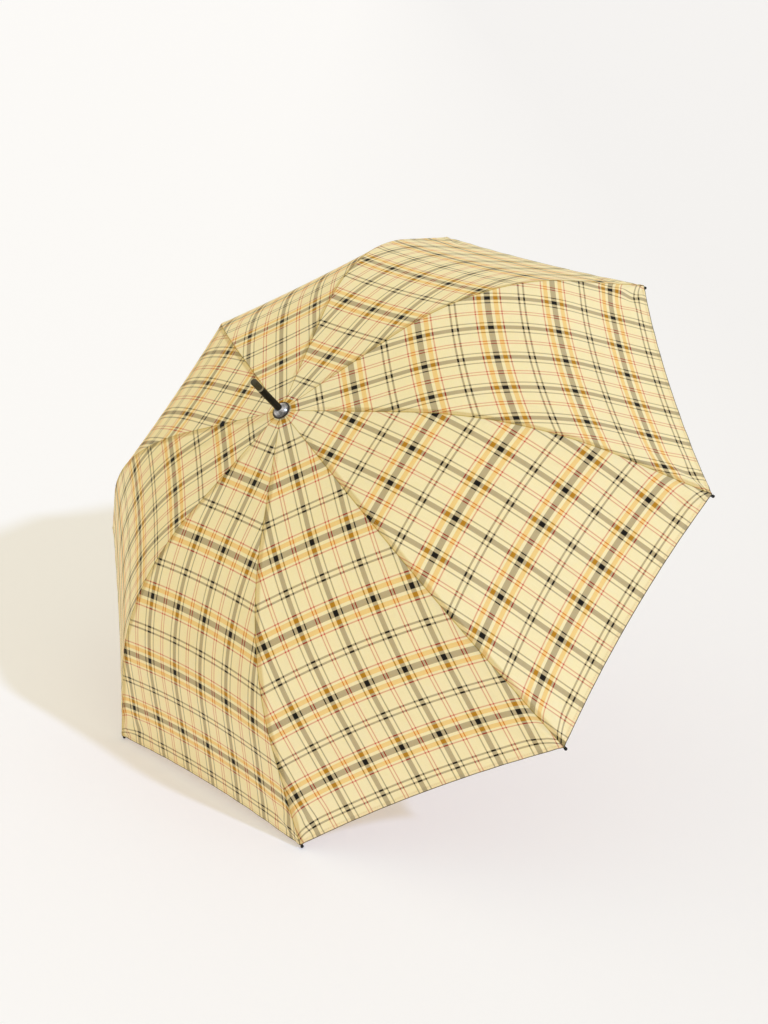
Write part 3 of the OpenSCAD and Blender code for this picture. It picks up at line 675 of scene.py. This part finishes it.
def beside_rib(k, s, t, n):
    """A place beside rib k, in metres."""
    r, z = rib_line(np.float64(s), n)
    return Vector(turn_to(k, np.array([r, t, z])) * MM)


def follow_leaf(piece):
    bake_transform(piece)


def follow_side(piece, k, part, side):
    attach(piece, f"rib_{k}")
    if part == "upper":
        axis, anchor, keep = [0, side, 0], beside_rib(k, UPPER_AT, side * TUCK_UPPER, 0), UPPER_KEEP
    else:
        drop = math.sin(LOWER_SLOPE)
        axis = [-drop * math.sin(OUTER_FALL), side * math.cos(LOWER_SLOPE), -drop * math.cos(OUTER_FALL)]
        anchor, keep = beside_rib(k, LOWER_AT, side * TUCK_LOWER, 0), LOWER_KEEP
    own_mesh(piece)


def cut_size(widths, first, last):
    """Width, length and area of a flat cut, in metres."""
    w, s = widths[first : last + 1] * MM, rows[first : last + 1] * MM
    return float(w.max()), float(s[-1] - s[0]), float(((w[1:] + w[:-1]) / 2 * np.diff(s)).sum())


side_wide = (1 - edge) * half_width(rows)
spans = {"leaf": (2 * leaf_half, 0, last_row), "upper": (side_wide, side_first, split_row)}
spans["lower"] = (side_wide, split_row, last_row)
for (k, part, *side), piece in cloth.items():
    if part == "leaf":
        follow_leaf(piece)
        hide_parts(f"canopy_panel_{k}")
    else:
        follow_side(piece, k, part, side[0])
for part, span in spans.items():
    print(part, "cut:", [round(x, 3) for x in cut_size(*span)])

# %% [markdown]
# ## Thread
# Stitches repeat thousands of times, so Geometry Nodes place them: each point of a row carries the
# direction along the seam and the direction off the cloth, and a small long bead is put there, turned to
# both. A second tree wraps rings of thread round each rib, where the seam is tied to it, and round the
# tip. The result is made a plain mesh, one for each cloth piece, because a thread must move as its cloth
# does.

# %% Stitch and tie trees
def thread_tree(name, sizes, shape):
    """A tree that puts a shape on points that know their 'lie' and 'up'."""
    tree = bpy.data.node_groups.new(name, "GeometryNodeTree")
    sockets = {"Points": "Geometry", **{size: "Float" for size in sizes}, "Thread": "Material"}
    for label, kind in sockets.items():
        tree.interface.new_socket(label, in_out="INPUT", socket_type=f"NodeSocket{kind}")
    tree.interface.new_socket("Sewn", in_out="OUTPUT", socket_type="NodeSocketGeometry")

    def add(kind, settings=(), **inputs):
        node = tree.nodes.new(kind)
        for key, value in dict(settings).items():
            setattr(node, key, value)
        for key, value in inputs.items():
            socket = node.inputs[key.replace("_", " ")]
            if isinstance(value, bpy.types.NodeSocket):
                tree.links.new(value, socket)
            else:
                socket.default_value = value
        return node

    given = add("NodeGroupInput").outputs
    vector = {"data_type": "FLOAT_VECTOR"}
    lie = add("GeometryNodeInputNamedAttribute", vector, Name="lie").outputs[0]
    up = add("GeometryNodeInputNamedAttribute", vector, Name="up").outputs[0]
    turn = add("FunctionNodeAxesToRotation", {"primary_axis": "Z", "secondary_axis": "X"})
    tree.links.new(up, turn.inputs[0])
    tree.links.new(lie, turn.inputs[1])
    bead, scale = shape(add, given)
    put = add(
        "GeometryNodeInstanceOnPoints", Points=given["Points"], Instance=bead, Rotation=turn.outputs[0],
        Scale=scale,
    )
    real = add("GeometryNodeRealizeInstances", Geometry=put.outputs[0])
    done = add("GeometryNodeSetMaterial", Geometry=real.outputs[0], Material=given["Thread"])
    tree.links.new(done.outputs[0], add("NodeGroupOutput").inputs[0])
    return tree


def stitch_shape(add, given):
    bead = add("GeometryNodeMeshUVSphere", Segments=6, Rings=4, Radius=0.5).outputs[0]
    thick = given["Thickness"]
    return bead, add("ShaderNodeCombineXYZ", X=given["Length"], Y=thick, Z=thick).outputs[0]


def ring_shape(add, given):
    circle = add("GeometryNodeCurvePrimitiveCircle", Resolution=20, Radius=given["Radius"])
    round_thread = add("GeometryNodeCurvePrimitiveCircle", Resolution=6, Radius=given["Thickness"])
    tube = add("GeometryNodeCurveToMesh", Curve=circle.outputs[0], Profile_Curve=round_thread.outputs[0])
    return tube.outputs[0], (1.0, 1.0, 1.0)


stitch_tree = thread_tree("stitch row", ["Length", "Thickness"], stitch_shape)
ring_tree = thread_tree("thread rings", ["Radius", "Thickness"], ring_shape)


def sew(name, tree, at, lie, up, thread, **sizes):
    """Runs a tree over points in millimetres and keeps the result as a plain mesh object."""
    mesh = bpy.data.meshes.new(name + "_points")
    mesh.from_pydata((at * MM).tolist(), [], [])
    for label, values in (("lie", lie), ("up", up)):
        field = mesh.attributes.new(label, "FLOAT_VECTOR", "POINT")
        field.data.foreach_set("vector", values.astype(np.float32).ravel())
    holder = bpy.data.objects.new(name + "_points", mesh)
    bpy.context.collection.objects.link(holder)
    modifier = holder.modifiers.new("thread", "NODES")
    modifier.node_group = tree
    for socket in tree.interface.items_tree:
        if socket.in_out == "INPUT" and socket.name in sizes:
            modifier[socket.identifier] = sizes[socket.name] * MM
        elif socket.name == "Thread":
            modifier[socket.identifier] = thread
    evaluated = holder.evaluated_get(bpy.context.evaluated_depsgraph_get())
    sewn = bpy.data.meshes.new_from_object(evaluated)
    sewn.name = name
    bpy.data.objects.remove(holder)
    piece = bpy.data.objects.new(name, sewn)
    bpy.context.collection.objects.link(piece)
    return piece


print("thread trees:", stitch_tree.name, "and", ring_tree.name)

# %% [markdown]
# The seam is felled: its allowance is folded to one side and sewn down, so a row of stitches runs beside
# each rib, seen outside and inside. The hem has a row of its own all the way round.

# %% Rows of stitches
STITCH = {"Length": 2.4, "Thickness": 0.34}
STITCH_STEP = 3.3
FELL_T, HEM_D = 4.5, 4.4
SEAM_STITCH_FROM, SEAM_STITCH_END, HEM_STITCH_FROM, STITCH_OUT = 38, 9, 2.2, 0.06


def stitch_row(k, s, v, side, along_hem):
    """Places, directions and heights of stitches on both faces of the cloth."""
    at, up = skin(k, s, v, side), skin_normal(k, s, v, side)
    q = 0.5 / half_width(s)
    lie = skin(k, s, v + q, side) - skin(k, s, v - q, side) if along_hem else skin(k, s + 1, v, side) - at
    lie /= np.linalg.norm(lie, axis=-1, keepdims=True)
    deep = CLOTH_T + (HEM_T if along_hem else ALLOWANCE_T)
    places = np.concatenate([at + up * STITCH_OUT, at - up * (deep + STITCH_OUT)])
    both = (places, np.concatenate([lie, lie]), np.concatenate([up, -up]))
    return [turn_to(k, part) for part in both]


def joined(*parts):
    return [np.concatenate(columns) for columns in zip(*parts)]


hem_s = HEM_S - HEM_D
hem_reach = float(half_width(np.float64(hem_s)))
leaf_reach = float(np.interp(hem_s, rows, leaf_half))
seam_s = np.arange(SEAM_STITCH_FROM, HEM_S - SEAM_STITCH_END, STITCH_STEP)
threads, stitches = {}, 0
for k in range(1, RIBS + 1):
    parts = [stitch_row(k, seam_s, FELL_T / half_width(seam_s), 1, False)]
    for side, word in ((-1, "left"), (1, "right")):
        t = np.arange(HEM_STITCH_FROM, hem_reach - 1, STITCH_STEP)
        s = np.full_like(t, hem_s)
        on_leaf = t < leaf_reach
        v = side * t / hem_reach
        parts.append(stitch_row(k, s[on_leaf], v[on_leaf], side, True))
        row = stitch_row(k, s[~on_leaf], v[~on_leaf], side, True)
        sewn_hem = sew(f"hem_stitches_{word}_{k}", stitch_tree, *row, pale_thread, **STITCH)
        follow_side(sewn_hem, k, "lower", side)
        threads[k, "lower", side] = sewn_hem
        stitches += len(row[0])
    row = joined(*parts)
    threads[k, "leaf"] = sew(f"seam_stitches_{k}", stitch_tree, *row, pale_thread, **STITCH)
    follow_leaf(threads[k, "leaf"])
    stitches += len(row[0])
for (k, part, *side), piece in cloth.items():
    width, length, area = cut_size(*spans[part])
    with_thread = [threads[key] for key in [(k, part, *side)] if key in threads]
print("stitches:", stitches)

# %% [markdown]
# Each seam is tied to its rib in two places, and the corner of the cloth to the eye of the rib tip. A tie
# is a few turns of thread round the channel, and the corner also has a bar of olive stitches on the
# outside.

# %% Ties on ribs and tips
TIE_AT = (120.0, 345.0)
TURN_STEP = 0.45
BAR_D, BAR_T = (1.2, 3.4, 5.6, 7.8), (0.1, 0.7)


def turns(k, s, n, count):
    """Centres and directions of thread rings round the rib, or round its tip."""
    s = s + TURN_STEP * np.arange(count)
    r, z = rib_line(s, n)
    f = fall(s)
    at = np.stack([r, np.zeros_like(r), z], -1)
    up = np.stack([np.cos(f), np.zeros_like(f), -np.sin(f)], -1)
    return [turn_to(k, x) for x in (at, np.tile([0.0, 1.0, 0.0], (count, 1)), up)]


for k in range(1, RIBS + 1):
    ties = joined(*[turns(k, s, 0.0, 4) for s in TIE_AT])
    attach(sew(f"rib_ties_{k}", ring_tree, *ties, pale_thread, Radius=2.3, Thickness=0.22), f"rib_{k}")
    corner = turns(k, HEM_S - 3.2, -0.6, 8)
    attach(sew(f"tip_thread_{k}", ring_tree, *corner, tip_thread, Radius=2.15, Thickness=0.25), f"rib_{k}")
    bar_s = np.tile(HEM_S - np.array(BAR_D), len(BAR_T))
    bar_v = np.repeat(BAR_T, len(BAR_D)) / half_width(bar_s)
    bar = stitch_row(k, bar_s, bar_v, 1, False)
    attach(sew(f"corner_bar_{k}", stitch_tree, *bar, tip_thread, Length=3.6, Thickness=0.6), f"rib_{k}")
print("ties on each rib:", len(TIE_AT))

# %% [markdown]
# ## Crook of bent wood
# The grip is a turned rod that was steamed and bent, so its grain follows the bend. A texture in plain
# object space would cut straight through it. The rod is therefore swept along its path here, and each
# point also keeps where it lay in the straight rod, which is what the wood finish reads.

# %% Sweep the rod
GRIP_TOP, GRIP_FOOT = 40.0, -40.0
CROOK_R, ROD_R, ROD_TOP_R, NOSE = 34.0, 10.5, 9.5, 20.0
ROD_L = 230.0
AROUND = 48


def rod_rings():
    """Centre, direction, radius and straight length of each ring of the rod, in the plane of the crook."""
    rings = []
    for z in np.linspace(GRIP_TOP - 0.2, GRIP_FOOT, 34):
        share = (GRIP_TOP - z) / (GRIP_TOP - GRIP_FOOT)
        ring_r = ROD_TOP_R + (ROD_R - ROD_TOP_R) * share
        rings.append(((0.0, z), (0.0, -1.0), ring_r - 0.8 * math.exp(-(GRIP_TOP - z) / 0.8), GRIP_TOP - z))
    length = GRIP_TOP - GRIP_FOOT
    for a in np.linspace(0, math.pi, 64)[1:]:
        centre = (CROOK_R - CROOK_R * math.cos(a), GRIP_FOOT - CROOK_R * math.sin(a))
        rings.append((centre, (math.sin(a), -math.cos(a)), ROD_R, length + CROOK_R * a))
    length += CROOK_R * math.pi
    for h in np.linspace(0, NOSE, 10)[1:]:
        rings.append(((2 * CROOK_R, GRIP_FOOT + h), (0.0, 1.0), ROD_R, length + h))
    length += NOSE
    for a in np.linspace(0, math.pi / 2, 12)[1:-1]:
        h = ROD_R * math.sin(a)
        rings.append(((2 * CROOK_R, GRIP_FOOT + NOSE + h), (0.0, 1.0), ROD_R * math.cos(a), length + h))
    return rings


def sweep_rod():
    rings = rod_rings()
    angle = np.arange(AROUND) * 2 * math.pi / AROUND
    points, straight = [], []
    for (y, z), (dy, dz), r, length in rings:
        side = np.array([0.0, dz, -dy])
        spokes = np.cos(angle)[:, None] * [1, 0, 0] + np.sin(angle)[:, None] * side
        points.append(np.array([0.0, y, z]) + r * spokes)
        straight.append(np.stack([r * np.cos(angle), r * np.sin(angle), np.full(AROUND, length)], -1))
    ends = [[0.0, 0.0, rings[0][0][1]], [0.0, 2 * CROOK_R, GRIP_FOOT + NOSE + ROD_R]]
    points = np.concatenate(points + [ends])
    straight = np.concatenate(straight + [[[0, 0, 0], [0, 0, ROD_L]]])
    faces, last = [], (len(rings) - 1) * AROUND
    for i in range(len(rings) - 1):
        for j in range(AROUND):
            a, b = i * AROUND + j, i * AROUND + (j + 1) % AROUND
            faces.append((a, b, b + AROUND, a + AROUND))
    for j in range(AROUND):
        after = (j + 1) % AROUND
        faces.append((after, j, len(points) - 2))
        faces.append((last + j, last + after, len(points) - 1))
    mesh = bpy.data.meshes.new("crook_handle")
    mesh.from_pydata((points * MM).tolist(), [], faces, shade_flat=False)
    mesh.attributes.new("grain", "FLOAT_VECTOR", "POINT").data.foreach_set(
        "vector", (straight * MM).astype(np.float32).ravel()
    )
    return mesh


WOOD_STOPS = [(0.3, (0.05, 0.018, 0.007, 1)), (0.5, (0.16, 0.06, 0.022, 1)), (0.72, (0.3, 0.13, 0.05, 1))]


def bent_wood():
    """Dark polished wood: long growth bands, fine pores along the grain, a coat of varnish."""
    finish = Finish("bent_wood", Coat_Weight=0.5, Coat_Roughness=0.12)
    grain = finish.add("ShaderNodeAttribute", {"attribute_name": "grain"}, out="Vector")

    def along(stretch, detail):
        at = finish.add("ShaderNodeVectorMath", {"operation": "MULTIPLY"}, [grain, stretch])
        return finish.noise(at, 1.0, detail, 0.6)

    bands, pores, cloud = along((160, 60, 7), 4.0), along((1500, 1500, 60), 2.0), along((40, 40, 12), 2.0)
    colour = finish.add(
        "ShaderNodeValToRGB",
        {"stops": WOOD_STOPS},
        [bands * 0.7 + cloud * 0.3],
    )
    finish.feed(
        Base_Color=finish.mix(pores.step(0.62, 0.1) * 0.7, colour, (0.025, 0.01, 0.005, 1)),
        Roughness=pores * 0.12 + cloud * 0.16 + 0.2,
        Normal=finish.bump(pores * 0.6 + bands * 0.4, 0.00012, 0.35),
    )
    return finish.material


crook = bpy.data.objects.new("crook_handle", sweep_rod())
bpy.context.collection.objects.link(crook)
crook.data.materials.append(bent_wood())
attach(crook, "shaft")
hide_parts("handle")
print("crook:", len(crook.data.vertices), "points")

# %% [markdown]
# ## Camera, floor and light
# The umbrella lies open on the floor, on two rib tips and its handle, so the floor is the plane that
# touches those three. The shaft is upright in the model, which makes the floor a slope here. Seen from
# behind it is clear, so that other views can look through it. The camera stands high in front. Light is
# plain: an even warm surround does most of it, and one cooler lamp with soft edges, high on the right,
# gives the folds their shade and the floor its shadow.

# %% Camera
SIGHT_RIGHT = Vector((0.75652, -0.45923, -0.46560))
SIGHT_DOWN = Vector((-0.65214, -0.58304, -0.48455))
SIGHT_AHEAD = Vector((-0.04894, 0.67020, -0.74056))
EYE = Vector((0.1176, -1.5453, 2.1271))
FOCUS_PX, FRAME_LONG_PX, SENSOR = 1635.8, 1024, 36.0

scene = bpy.context.scene
camera = bpy.data.cameras.new("camera")
camera.sensor_width = SENSOR
camera.lens = FOCUS_PX / FRAME_LONG_PX * SENSOR
camera_object = bpy.data.objects.new("camera", camera)
sight = Matrix((SIGHT_RIGHT, -SIGHT_DOWN, -SIGHT_AHEAD)).transposed().to_4x4()
camera_object.matrix_world = Matrix.Translation(EYE) @ sight
bpy.context.collection.objects.link(camera_object)
scene.camera = camera_object
print("lens:", round(camera.lens, 2), "mm")

# %% The floor under two tips and the crook
def resting_plane():
    """A point of the floor and its upward direction: the plane through two tips and the handle."""
    names = ("rib_tip_4", "rib_tip_5", "handle")
    solids = [np.array([v.co for v in frame["nodes"][name].data.vertices]) for name in names]
    up = np.array([0.6, 0.3, 0.75])
    for _ in range(12):
        a, b, c = (points[np.argmin(points @ up)] for points in solids)
        up = np.cross(b - a, c - a)
        up = up / np.linalg.norm(up) * np.sign(up[2] if abs(up[2]) > 0.1 else up[0])
    return a, up


floor_at, floor_up = resting_plane()
print("floor rises towards", floor_up.round(3))
floor_turn = Vector((0, 0, 1)).rotation_difference(Vector(floor_up)).to_matrix().to_4x4()
FLOOR_HALF = 150.0
FLOOR_LEFT, FLOOR_RIGHT_SHADED = tint(232, 231, 230), tint(222, 221, 220)
FLOOR_GLOW, GLOW_LEVEL = (0.84, 0.81, 1.0, 1), 0.25
corners = [Vector((x * FLOOR_HALF, y * FLOOR_HALF, 0)) for x, y in ((-1, -1), (1, -1), (1, 1), (-1, 1))]
floor_mesh = bpy.data.meshes.new("floor")
floor_mesh.from_pydata([Vector(floor_at) + floor_turn @ c for c in corners], [], [(0, 1, 2, 3)])
floor = bpy.data.objects.new("floor", floor_mesh)
bpy.context.collection.objects.link(floor)
paper = Finish("pale_floor", Roughness=0.9, Emission_Color=FLOOR_GLOW, Emission_Strength=GLOW_LEVEL)
dot = {"operation": "DOT_PRODUCT"}
# Painted shade: the floor's colour darkens towards the right of the view, standing in for the light falling
# off there.
aside = paper.add("ShaderNodeVectorMath", dot, [paper.place(), SIGHT_RIGHT], "Value")
paper.feed(Base_Color=paper.mix(aside.step(0.1, 1.6), FLOOR_LEFT, FLOOR_RIGHT_SHADED))
clear = paper.add("ShaderNodeBsdfTransparent")
behind = paper.add("ShaderNodeNewGeometry", out="Backfacing")
seen = paper.add("ShaderNodeMixShader", {}, [behind, Strand(paper, paper.shader.outputs[0]), clear])
paper.tree.links.new(seen.socket, paper.tree.nodes["Material Output"].inputs["Surface"])
floor_mesh.materials.append(paper.material)

# %% Light
SURROUND, SURROUND_LEVEL = (1.0, 0.94, 0.675, 1), 0.775
SEEN_WHITE = (0.955, 0.942, 0.914, 1)
LAMP_LEVEL, LAMP_SPREAD, LAMP_COLOUR = 1.45, math.radians(3.5), (0.505, 0.64, 1.0)

scene.view_settings.view_transform = "Standard"
world = bpy.data.worlds.new("even_surround")
scene.world = world
world.use_nodes = True
nodes, links = world.node_tree.nodes, world.node_tree.links
even = nodes["Background"]
even.inputs["Color"].default_value = SURROUND
even.inputs["Strength"].default_value = SURROUND_LEVEL
white = nodes.new("ShaderNodeBackground")
white.inputs["Color"].default_value = SEEN_WHITE
rays, choose = nodes.new("ShaderNodeLightPath"), nodes.new("ShaderNodeMixShader")
share = rays.outputs["Is Camera Ray"]
for ray in ("Is Glossy Ray", "Is Transmission Ray"):
    either = nodes.new("ShaderNodeMath")
    either.operation = "MAXIMUM"
    links.new(share, either.inputs[0])
    links.new(rays.outputs[ray], either.inputs[1])
    share = either.outputs[0]
links.new(share, choose.inputs[0])
links.new(even.outputs[0], choose.inputs[1])
links.new(white.outputs[0], choose.inputs[2])
links.new(choose.outputs[0], nodes["World Output"].inputs["Surface"])

lamp_from = SIGHT_RIGHT * 0.6 - SIGHT_DOWN * 0.4 - SIGHT_AHEAD * 0.693
lamp = bpy.data.lights.new("soft_lamp", "SUN")
lamp.energy, lamp.angle, lamp.color = LAMP_LEVEL, LAMP_SPREAD, LAMP_COLOUR
lamp_object = bpy.data.objects.new("soft_lamp", lamp)
lamp_object.rotation_mode = "QUATERNION"
lamp_object.rotation_quaternion = lamp_from.to_track_quat("Z", "Y")
bpy.context.collection.objects.link(lamp_object)
print("lamp:", lamp.energy, "from", tuple(round(x, 2) for x in lamp_from))
